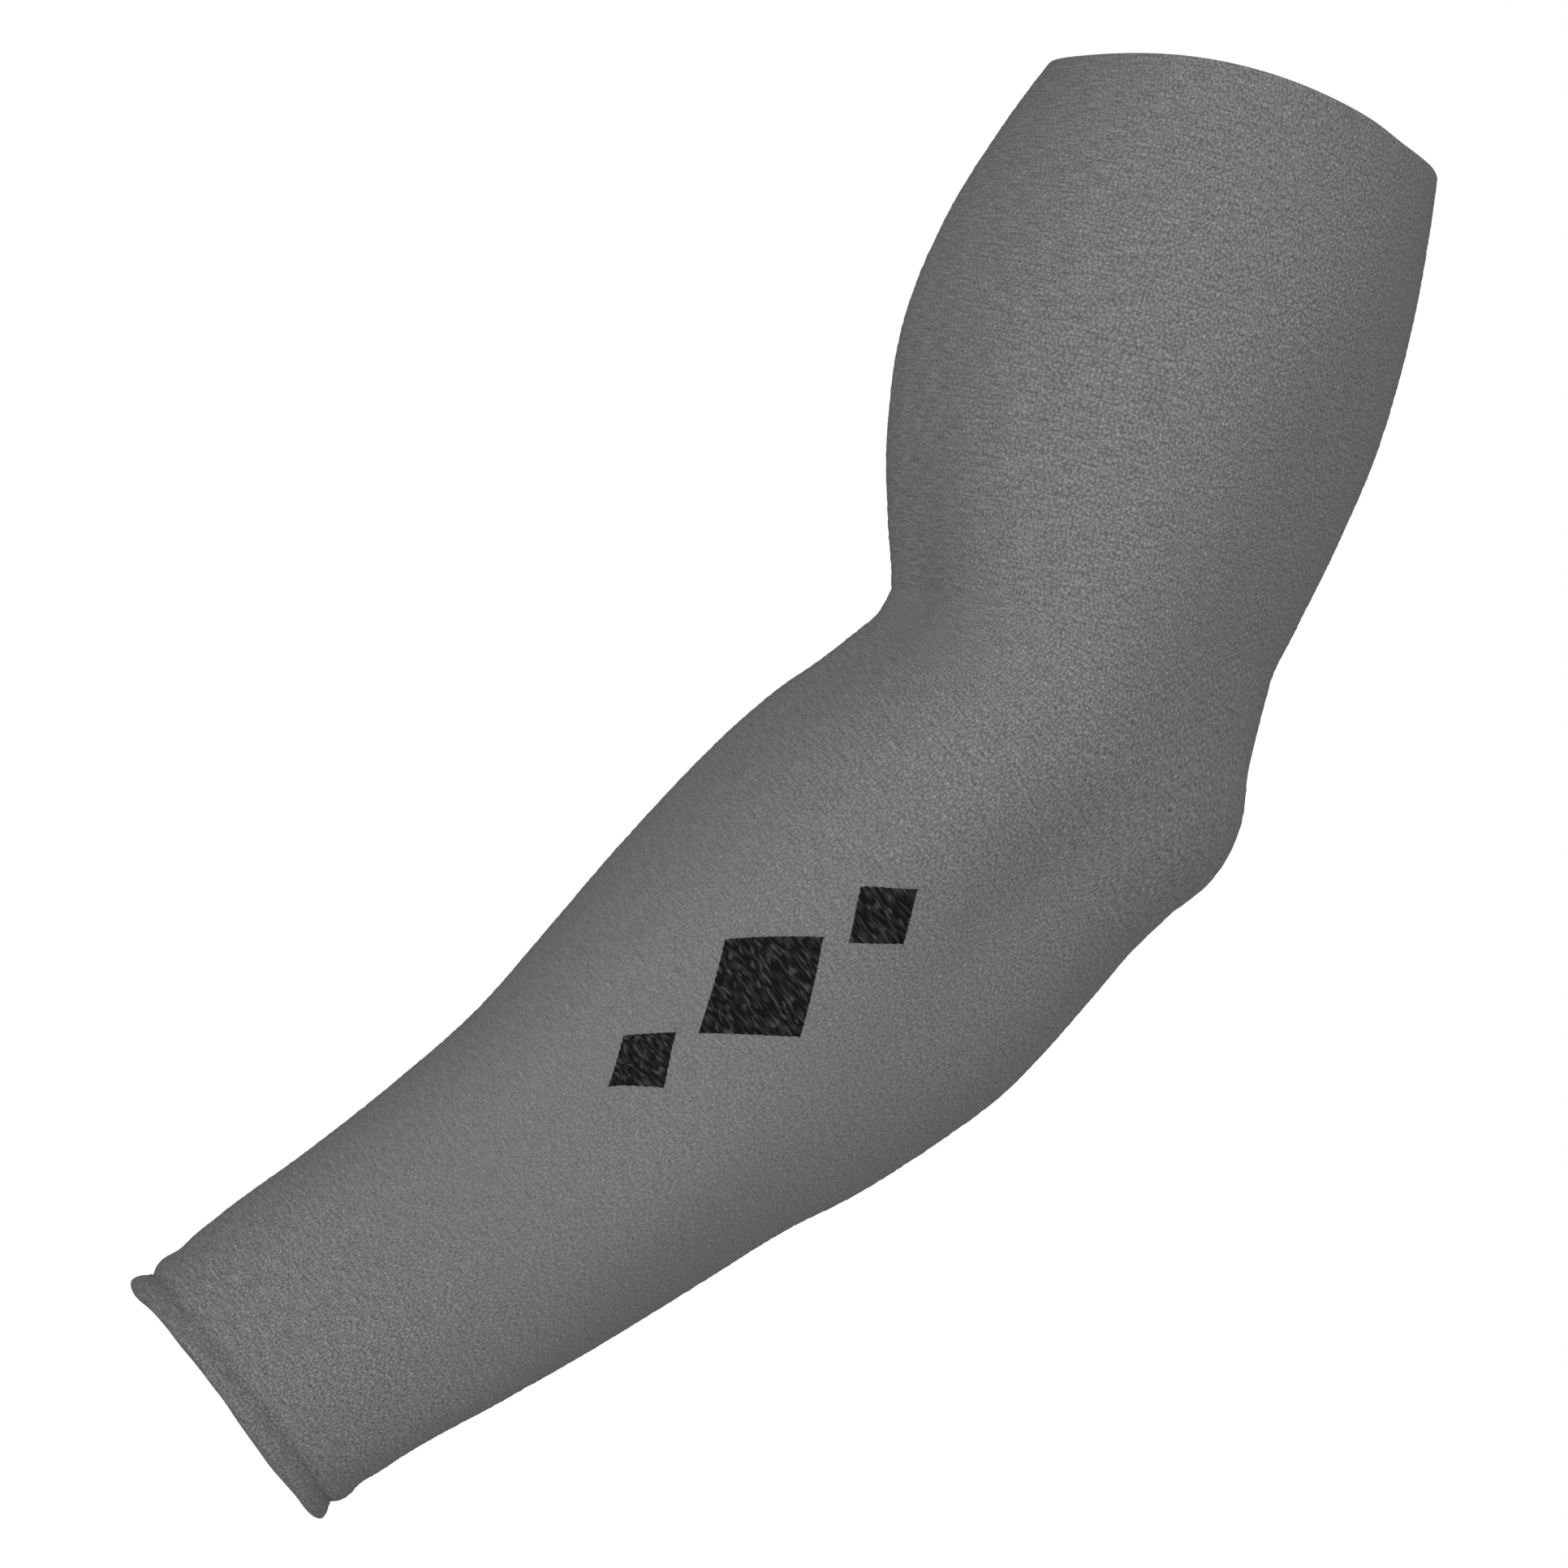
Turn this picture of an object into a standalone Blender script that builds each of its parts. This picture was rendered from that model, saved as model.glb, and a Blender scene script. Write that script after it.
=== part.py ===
"""Arm compression sleeve, with the form that it has on a slightly bent arm.

One seamless knitted tube runs from the upper arm, round the elbow, to the wrist, where a turned hem
ends it. Three black lozenges lie in a row on the near side of the forearm.

Metres, +Z up. The origin is the centre of the upper opening, level along the arm with the edge's two
sides, and the centre of the wrist opening is straight below it. The arm bends in the XZ plane with
the elbow's tip towards +X, and Y is its depth, with the near side towards -Y.
"""

import math
from dataclasses import dataclass

import bmesh
import bpy
from mathutils import Vector

# The arm's axis: two straight runs whose lines cross at the elbow, joined by an arc
UPPER_ARM_LENGTH = 0.157
FOREARM_LENGTH = 0.256
ELBOW_BEND = math.radians(37.0)
ELBOW_RADIUS = 0.066

# Outer sizes of the worn sleeve: width from front to back, depth from side to side
RIM_WIDTH = 0.092
RIM_DEPTH = 0.090
UPPER_ARM_WIDTH = 0.116
UPPER_ARM_DEPTH = 0.102
ELBOW_WIDTH = 0.101
ELBOW_DEPTH = 0.092
FOREARM_WIDTH = 0.107
FOREARM_DEPTH = 0.091
WRIST_WIDTH = 0.070
WRIST_DEPTH = 0.052

# How much lower the openings' edges lie at the front and back than at the sides
RIM_DROP_FRONT = 0.007
RIM_DROP_BACK = 0.0095
WRIST_ARCH = 0.001

# Fabric, and the hem turned at the wrist
FABRIC = 0.0012
HEM_WIDTH = 0.0055
HEM_THICKNESS = 0.0026
HEM_PROUD = 0.0006
SEAM_GAP = 0.0003

# Lozenges of the motif, from the elbow's end to the wrist's
MOTIF_THICKNESS = 0.0004
SMALL_LOZENGE_LENGTH = 0.020
SMALL_LOZENGE_WIDTH = 0.014
LARGE_LOZENGE_LENGTH = 0.036
LARGE_LOZENGE_WIDTH = 0.025
LOZENGE_GAP = 0.004
LOZENGE_TIP = 0.0006

# Colours and roughness
KNIT_COLOUR = (0.155, 0.155, 0.155)
HEM_COLOUR = (0.145, 0.145, 0.145)
MOTIF_COLOUR = (0.012, 0.012, 0.012)
KNIT_ROUGHNESS = 0.9
MOTIF_ROUGHNESS = 0.8

# Mesh density, and the angle past which an edge is shaded sharp
STEPS_ROUND = 36
RING_SPACING = 0.0096
ELBOW_SPACING = 0.0056
FOLD_SPACING = 0.0022
HEM_STEPS = 10
LOZENGE_STEPS = 6
NORMAL_STEP = 0.0005
SHARP_ANGLE = math.radians(50.0)


@dataclass(frozen=True)
class Section:
    """A section square to the axis. Its half sizes are shares of a named width and depth."""

    run: str
    place: float
    width: float
    front: float
    back: float
    depth: float
    near: float
    far: float


@dataclass(frozen=True)
class Swelling:
    """A soft swelling, or a hollow where its height is negative.

    Its length is a share of the forearm's length and its height one of the forearm's depth. Its angle
    and spread are in degrees round the arm: 0 is the front, 90 the near side, 180 the back and 270
    the far side.
    """

    run: str
    place: float
    angle: float
    spread: float
    length: float
    height: float


@dataclass(frozen=True)
class Fold:
    """A fold that runs right round the wrist.

    Its distance above the opening and its length are in hem widths, its height in hem thicknesses.
    """

    above: float
    length: float
    height: float


@dataclass(frozen=True)
class Lozenge:
    """One lozenge of the motif, its middle a distance down the arm from the motif's own middle."""

    name: str
    below_middle: float
    angle: float
    length: float
    width: float


SECTIONS = (
    Section("upper", 0.00, RIM_WIDTH, 0.490, 0.510, RIM_DEPTH, 0.500, 0.500),
    Section("upper", 0.17, UPPER_ARM_WIDTH, 0.467, 0.430, UPPER_ARM_DEPTH, 0.470, 0.470),
    Section("upper", 0.36, UPPER_ARM_WIDTH, 0.534, 0.446, UPPER_ARM_DEPTH, 0.490, 0.490),
    Section("upper", 0.56, UPPER_ARM_WIDTH, 0.561, 0.439, UPPER_ARM_DEPTH, 0.500, 0.500),
    Section("upper", 0.76, UPPER_ARM_WIDTH, 0.532, 0.404, UPPER_ARM_DEPTH, 0.485, 0.485),
    Section("upper", 0.90, UPPER_ARM_WIDTH, 0.486, 0.370, UPPER_ARM_DEPTH, 0.465, 0.460),
    Section("upper", 1.00, ELBOW_WIDTH, 0.516, 0.403, ELBOW_DEPTH, 0.500, 0.490),
    Section("elbow", 0.28, ELBOW_WIDTH, 0.512, 0.424, ELBOW_DEPTH, 0.495, 0.485),
    Section("elbow", 0.48, ELBOW_WIDTH, 0.510, 0.475, ELBOW_DEPTH, 0.490, 0.480),
    Section("elbow", 0.66, ELBOW_WIDTH, 0.509, 0.495, ELBOW_DEPTH, 0.490, 0.480),
    Section("elbow", 0.87, ELBOW_WIDTH, 0.509, 0.474, ELBOW_DEPTH, 0.490, 0.480),
    Section("forearm", 0.06, ELBOW_WIDTH, 0.505, 0.508, ELBOW_DEPTH, 0.495, 0.480),
    Section("forearm", 0.195, FOREARM_WIDTH, 0.470, 0.527, FOREARM_DEPTH, 0.500, 0.485),
    Section("forearm", 0.28, FOREARM_WIDTH, 0.446, 0.522, FOREARM_DEPTH, 0.495, 0.480),
    Section("forearm", 0.37, FOREARM_WIDTH, 0.411, 0.503, FOREARM_DEPTH, 0.475, 0.460),
    Section("forearm", 0.45, FOREARM_WIDTH, 0.375, 0.471, FOREARM_DEPTH, 0.445, 0.435),
    Section("forearm", 0.56, FOREARM_WIDTH, 0.332, 0.443, FOREARM_DEPTH, 0.395, 0.390),
    Section("forearm", 0.67, WRIST_WIDTH, 0.486, 0.636, WRIST_DEPTH, 0.620, 0.605),
    Section("forearm", 0.775, WRIST_WIDTH, 0.483, 0.586, WRIST_DEPTH, 0.560, 0.550),
    Section("forearm", 0.88, WRIST_WIDTH, 0.486, 0.534, WRIST_DEPTH, 0.520, 0.515),
    Section("forearm", 1.00, WRIST_WIDTH, 0.482, 0.507, WRIST_DEPTH, 0.500, 0.500),
)

SWELLINGS = (
    Swelling("forearm", 0.02, 68.0, 30.0, 0.24, 0.040),
    Swelling("forearm", 0.04, 128.0, 26.0, 0.16, -0.035),
    Swelling("upper", 0.70, 130.0, 30.0, 0.16, -0.020),
    Swelling("elbow", 0.70, 240.0, 32.0, 0.12, -0.025),
)

FOLDS = (
    Fold(0.0, 0.45, 0.25),
    Fold(1.0, 0.28, -0.25),
    Fold(1.8, 0.50, 0.15),
    Fold(2.6, 0.50, -0.15),
)

# Shares of a run: how far each opening's arch reaches, and where the elbow's closer rings end
RIM_ARCH_REACH = 0.6
WRIST_ARCH_REACH = 0.2
ELBOW_SHARE = 0.06
FOLDED_HEM_WIDTHS = 3.5

MOTIF_MIDDLE = 0.326
MOTIF_ANGLE = 91.5
MOTIF_TURN = 4.5
LOZENGE_STEP = LARGE_LOZENGE_LENGTH / 2 + LOZENGE_GAP + SMALL_LOZENGE_LENGTH / 2

LOZENGES = (
    Lozenge("motif_upper", -LOZENGE_STEP, MOTIF_ANGLE + MOTIF_TURN, SMALL_LOZENGE_LENGTH, SMALL_LOZENGE_WIDTH),
    Lozenge("motif_middle", 0.0, MOTIF_ANGLE, LARGE_LOZENGE_LENGTH, LARGE_LOZENGE_WIDTH),
    Lozenge("motif_lower", LOZENGE_STEP, MOTIF_ANGLE - MOTIF_TURN, SMALL_LOZENGE_LENGTH, SMALL_LOZENGE_WIDTH),
)

# Values worked out from the sizes
ELBOW_TANGENT = ELBOW_RADIUS * math.tan(ELBOW_BEND / 2)
RUN_LENGTHS = {
    "upper": UPPER_ARM_LENGTH - ELBOW_TANGENT,
    "elbow": ELBOW_RADIUS * ELBOW_BEND,
    "forearm": FOREARM_LENGTH - ELBOW_TANGENT,
}
RUN_STARTS = {
    "upper": 0.0,
    "elbow": RUN_LENGTHS["upper"],
    "forearm": RUN_LENGTHS["upper"] + RUN_LENGTHS["elbow"],
}
ARM_LENGTH = sum(RUN_LENGTHS.values())
UPPER_ARM_LEAN = math.atan2(
    FOREARM_LENGTH * math.sin(ELBOW_BEND),
    UPPER_ARM_LENGTH + FOREARM_LENGTH * math.cos(ELBOW_BEND),
)


def distance_at(run, place):
    """Distance down the axis from the upper opening to a place, a share of one run's length."""
    return RUN_STARTS[run] + place * RUN_LENGTHS[run]


def axis_at(distance):
    """Point of the arm's axis at a distance from the upper opening, and the way to the arm's front."""
    straight = RUN_LENGTHS["upper"]
    turned = min(max(distance - straight, 0.0), RUN_LENGTHS["elbow"]) / ELBOW_RADIUS
    lean = UPPER_ARM_LEAN - turned
    front = Vector((-math.cos(lean), 0.0, -math.sin(lean)))
    if distance <= straight:
        return Vector((math.sin(lean), 0.0, -math.cos(lean))) * distance, front

    start = Vector((math.sin(UPPER_ARM_LEAN), 0.0, -math.cos(UPPER_ARM_LEAN))) * straight
    start_front = Vector((-math.cos(UPPER_ARM_LEAN), 0.0, -math.sin(UPPER_ARM_LEAN)))
    point = start + (start_front - front) * ELBOW_RADIUS
    past_elbow = max(distance - RUN_STARTS["forearm"], 0.0)
    return point + Vector((math.sin(lean), 0.0, -math.cos(lean))) * past_elbow, front


def section_rows():
    """Each section as its distance and its four half sizes in metres."""
    return [
        (
            distance_at(row.run, row.place),
            (row.width * row.front, row.width * row.back, row.depth * row.near, row.depth * row.far),
        )
        for row in SECTIONS
    ]


def half_sizes(distance):
    """Front, back, near and far half sizes, on a smooth curve through the sections."""
    rows = section_rows()
    index = 0
    while index < len(rows) - 2 and distance > rows[index + 1][0]:
        index += 1
    (low, low_sizes), (high, high_sizes) = rows[index], rows[index + 1]
    span = high - low
    share = min(max((distance - low) / span, 0.0), 1.0)

    def slope(at, column):
        before, after = rows[max(at - 1, 0)], rows[min(at + 1, len(rows) - 1)]
        return (after[1][column] - before[1][column]) / (after[0] - before[0]) * span

    sizes = []
    for column in range(len(low_sizes)):
        start, end = low_sizes[column], high_sizes[column]
        leaving, arriving = slope(index, column), slope(index + 1, column)
        sizes.append(
            (2 * share**3 - 3 * share**2 + 1) * start
            + (share**3 - 2 * share**2 + share) * leaving
            + (3 * share**2 - 2 * share**3) * end
            + (share**3 - share**2) * arriving
        )
    return sizes


def bell(offset, spread):
    """A soft bell curve, 1 at its middle."""
    return math.exp(-((offset / spread) ** 2))


def relief(distance, angle):
    """How far the swellings, hollows and wrist folds lift the surface."""
    lift = 0.0
    for row in SWELLINGS:
        turn = (math.degrees(angle) - row.angle + 180.0) % 360.0 - 180.0
        reach = distance - distance_at(row.run, row.place)
        lift += row.height * FOREARM_DEPTH * bell(turn, row.spread) * bell(reach, row.length * FOREARM_LENGTH)
    for row in FOLDS:
        above = ARM_LENGTH - distance - row.above * HEM_WIDTH
        lift += row.height * HEM_THICKNESS * bell(above, row.length * HEM_WIDTH)
    return lift


def settled(distance, angle):
    """Distance at which the fabric lies once each opening's edge arches round the arm."""
    from_rim = max(1 - distance / (RIM_ARCH_REACH * RUN_LENGTHS["upper"]), 0.0)
    from_wrist = max(1 - (ARM_LENGTH - distance) / (WRIST_ARCH_REACH * RUN_LENGTHS["forearm"]), 0.0)
    drop = RIM_DROP_FRONT if math.cos(angle) > 0 else RIM_DROP_BACK
    lowered = drop * math.cos(angle) ** 2 * from_rim**2
    raised = WRIST_ARCH * math.sin(angle) ** 2 * from_wrist**2
    return distance + lowered - raised


def skin_point(distance, angle, out=0.0):
    """Point of the sleeve's outer face, or one further out, square to the axis."""
    place = settled(distance, angle)
    centre, front = axis_at(place)
    front_half, back_half, near_half, far_half = half_sizes(place)
    along_front = math.cos(angle) * (front_half if math.cos(angle) > 0 else back_half)
    along_near = math.sin(angle) * (near_half if math.sin(angle) > 0 else far_half)
    spoke = front * along_front + Vector((0.0, -1.0, 0.0)) * along_near
    return centre + spoke + spoke.normalized() * (relief(distance, angle) + out)


def surface_point(distance, angle, out):
    """Point a given height outside the sleeve's outer face, square to it."""
    point = skin_point(distance, angle)
    turn = NORMAL_STEP / WRIST_DEPTH
    around = skin_point(distance, angle + turn) - skin_point(distance, angle - turn)
    down = skin_point(distance + NORMAL_STEP, angle) - skin_point(distance - NORMAL_STEP, angle)
    return point + down.cross(around).normalized() * out


def ring_distances(end):
    """Distances of the tube's rings, closer together round the elbow and over the wrist's folds."""
    below_elbow = distance_at("forearm", ELBOW_SHARE)
    folds = end - FOLDED_HEM_WIDTHS * HEM_WIDTH
    stretches = (
        (0.0, RUN_STARTS["elbow"], RING_SPACING),
        (RUN_STARTS["elbow"], below_elbow, ELBOW_SPACING),
        (below_elbow, folds, RING_SPACING),
        (folds, end, FOLD_SPACING),
    )
    distances = []
    for start, stop, spacing in stretches:
        steps = max(2, round((stop - start) / spacing))
        distances += [start + (stop - start) * step / steps for step in range(steps)]
    return distances + [end]


def round_angles():
    """Angles of the points round one section."""
    return [math.tau * step / STEPS_ROUND for step in range(STEPS_ROUND)]


def grid_object(name, rows, wrap_rows, wrap_columns, material, collection):
    """Object whose faces join a grid of points, wrapped round where it is asked for."""
    mesh = bmesh.new()
    grid = [[mesh.verts.new(point) for point in row] for row in rows]
    row_count, column_count = len(grid), len(grid[0])
    for row in range(row_count if wrap_rows else row_count - 1):
        for column in range(column_count if wrap_columns else column_count - 1):
            next_row = (row + 1) % row_count
            next_column = (column + 1) % column_count
            mesh.faces.new(
                (grid[row][column], grid[next_row][column], grid[next_row][next_column], grid[row][next_column])
            )
    data = bpy.data.meshes.new(name)
    mesh.to_mesh(data)
    mesh.free()
    data.shade_smooth()
    data.set_sharp_from_angle(angle=SHARP_ANGLE)
    data.materials.append(material)
    obj = bpy.data.objects.new(name, data)
    collection.objects.link(obj)
    return obj


def thicken(obj, thickness):
    """Give an open surface its wall, inwards from its outer face."""
    wall = obj.modifiers.new("Wall", "SOLIDIFY")
    wall.thickness = thickness
    wall.offset = -1.0
    wall.use_even_offset = True


def make_tube(material, collection):
    """The knitted tube, from the upper opening to the hem's seam."""
    end = ARM_LENGTH - HEM_WIDTH - SEAM_GAP
    rows = [[skin_point(distance, angle) for angle in round_angles()] for distance in ring_distances(end)]
    tube = grid_object("sleeve_tube", rows, False, True, material, collection)
    thicken(tube, FABRIC)
    return tube


def make_hem(material, collection):
    """The turned hem: a flat band with round edges, drawn round the wrist."""
    rows = []
    for step in range(HEM_STEPS):
        turn = math.tau * (step + 0.5) / HEM_STEPS
        across = math.copysign(math.sqrt(abs(math.cos(turn))), math.cos(turn))
        out = math.copysign(math.sqrt(abs(math.sin(turn))), math.sin(turn))
        distance = ARM_LENGTH - HEM_WIDTH / 2 - across * HEM_WIDTH / 2
        lift = HEM_PROUD - HEM_THICKNESS / 2 + out * HEM_THICKNESS / 2
        rows.append([skin_point(distance, angle, lift) for angle in round_angles()])
    return grid_object("wrist_hem", rows, True, True, material, collection)


def make_lozenge(row, material, collection):
    """One lozenge, laid on the sleeve a small gap above its outer face."""
    middle = distance_at("forearm", MOTIF_MIDDLE) + row.below_middle
    height = SEAM_GAP + MOTIF_THICKNESS
    radius = (skin_point(middle, math.radians(row.angle)) - axis_at(middle)[0]).length
    rows = []
    for step in range(-LOZENGE_STEPS, LOZENGE_STEPS + 1):
        along = step / LOZENGE_STEPS
        half = max((1 - abs(along)) * row.width, LOZENGE_TIP) / 2
        distance = middle + along * row.length / 2
        rows.append([
            surface_point(distance, math.radians(row.angle) + across / LOZENGE_STEPS * 2 * half / radius, height)
            for across in range(-LOZENGE_STEPS // 2, LOZENGE_STEPS // 2 + 1)
        ])
    lozenge = grid_object(row.name, rows, False, False, material, collection)
    thicken(lozenge, MOTIF_THICKNESS)
    return lozenge


def make_material(name, colour, roughness):
    """Matte cloth material."""
    material = bpy.data.materials.new(name)
    material.use_nodes = True
    shader = material.node_tree.nodes["Principled BSDF"]
    shader.inputs["Base Color"].default_value = (*colour, 1.0)
    shader.inputs["Roughness"].default_value = roughness
    shader.inputs["Metallic"].default_value = 0.0
    return material


def main():
    """Clear the scene and build the sleeve."""
    for obj in list(bpy.data.objects):
        bpy.data.objects.remove(obj, do_unlink=True)
    collection = bpy.data.collections.new("arm_compression_sleeve")
    bpy.context.scene.collection.children.link(collection)

    make_tube(make_material("grey_knit", KNIT_COLOUR, KNIT_ROUGHNESS), collection)
    make_hem(make_material("grey_hem", HEM_COLOUR, KNIT_ROUGHNESS), collection)
    for row in LOZENGES:
        make_lozenge(row, make_material(row.name, MOTIF_COLOUR, MOTIF_ROUGHNESS), collection)


main()
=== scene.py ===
"""Arm compression sleeve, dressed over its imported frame.

Metres, +Z up. The origin is the centre of the upper opening, and the wrist opening is straight below it.
The arm bends in the XZ plane with the elbow's tip towards +X, and the near side faces -Y.

Angles round the arm run from 0 at the front through 90 degrees at the near side, 180 at the back and 270
at the far side. Distances run down the arm's axis from the upper opening.
"""

import logging
import math
from collections.abc import Callable
from dataclasses import dataclass
from enum import Enum

import bpy
import numpy as np
from mathutils import Matrix, Vector


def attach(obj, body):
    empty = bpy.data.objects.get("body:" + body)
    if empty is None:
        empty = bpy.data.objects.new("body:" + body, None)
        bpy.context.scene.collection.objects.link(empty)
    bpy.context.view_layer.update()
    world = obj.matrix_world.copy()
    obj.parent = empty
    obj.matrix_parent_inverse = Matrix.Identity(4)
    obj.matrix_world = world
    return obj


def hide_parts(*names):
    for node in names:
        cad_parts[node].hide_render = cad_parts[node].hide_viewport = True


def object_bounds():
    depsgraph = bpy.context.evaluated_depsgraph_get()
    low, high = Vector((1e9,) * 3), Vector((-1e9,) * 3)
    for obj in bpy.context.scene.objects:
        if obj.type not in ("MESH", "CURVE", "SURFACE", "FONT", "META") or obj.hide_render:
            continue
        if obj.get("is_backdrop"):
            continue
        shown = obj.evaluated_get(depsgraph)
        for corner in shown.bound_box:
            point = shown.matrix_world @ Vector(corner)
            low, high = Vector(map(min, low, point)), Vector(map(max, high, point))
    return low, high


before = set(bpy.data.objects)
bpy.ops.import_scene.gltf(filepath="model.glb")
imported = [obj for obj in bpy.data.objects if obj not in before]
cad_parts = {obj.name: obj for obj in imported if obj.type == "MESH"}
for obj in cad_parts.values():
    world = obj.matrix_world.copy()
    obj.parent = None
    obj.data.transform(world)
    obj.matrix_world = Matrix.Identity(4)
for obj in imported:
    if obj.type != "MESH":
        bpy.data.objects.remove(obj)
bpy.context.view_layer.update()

BODY = "root"
LOG = logging.getLogger("arm_sleeve")

# Share of a turn from the far side, where every pattern round the arm starts, to the front
FAR_TO_FRONT = 0.25
# How near to each other points are welded, in metres
WELD_DISTANCE = 1e-6


class Run(Enum):
    """A stretch of the arm's axis."""

    UPPER = "upper arm"
    ELBOW = "elbow"
    FOREARM = "forearm"


class Slot(Enum):
    """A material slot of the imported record."""

    KNIT = "grey_knit"
    HEM = "grey_hem"
    MOTIF = "black_print"


@dataclass(frozen=True)
class Section:
    """A section square to the axis.

    Its place is a share of its run's length, and its half sizes are shares of a named width and depth.
    """

    run: Run
    place: float
    width: float
    front: float
    back: float
    depth: float
    near: float
    far: float


@dataclass(frozen=True)
class Swelling:
    """A soft swelling of the arm's surface, or a hollow where its height is negative.

    Its length is a share of the forearm's length and its height one of the forearm's depth. Its angle and
    spread are in degrees round the arm.
    """

    run: Run
    place: float
    angle: float
    spread: float
    length: float
    height: float


@dataclass(frozen=True)
class Fold:
    """A fold that the turned hem presses into the knit, right round the wrist.

    Its distance above the opening and its length are in hem widths, and its height in hem thicknesses.
    """

    above: float
    length: float
    height: float


@dataclass(frozen=True)
class EdgeWave:
    """A stretch of an opening's edge that lies further down the arm, or up where its drop is negative.

    Its angle and spread are in degrees round the arm, its drop in metres.
    """

    angle: float
    spread: float
    drop: float


def turned_from(middle: float, angle: np.ndarray) -> np.ndarray:
    """How far angles lie from a middle, the shorter way round.

    Args:
        middle: The middle, in degrees.
        angle: Angles round the arm, in radians.

    Returns:
        The turn to each angle, from -180 to 180 degrees.
    """
    return (np.degrees(angle) - middle + 180.0) % 360.0 - 180.0


def edge_drop(waves: tuple[EdgeWave, ...], angle: np.ndarray) -> np.ndarray:
    """How far an opening's edge lies below its plain course.

    Args:
        waves: The edge's waves.
        angle: Angles round the arm, in radians.

    Returns:
        The drop at each angle, in metres.
    """
    drop = np.zeros_like(angle)
    for wave in waves:
        drop += wave.drop * np.exp(-((turned_from(wave.angle, angle) / wave.spread) ** 2))
    return drop


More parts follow.
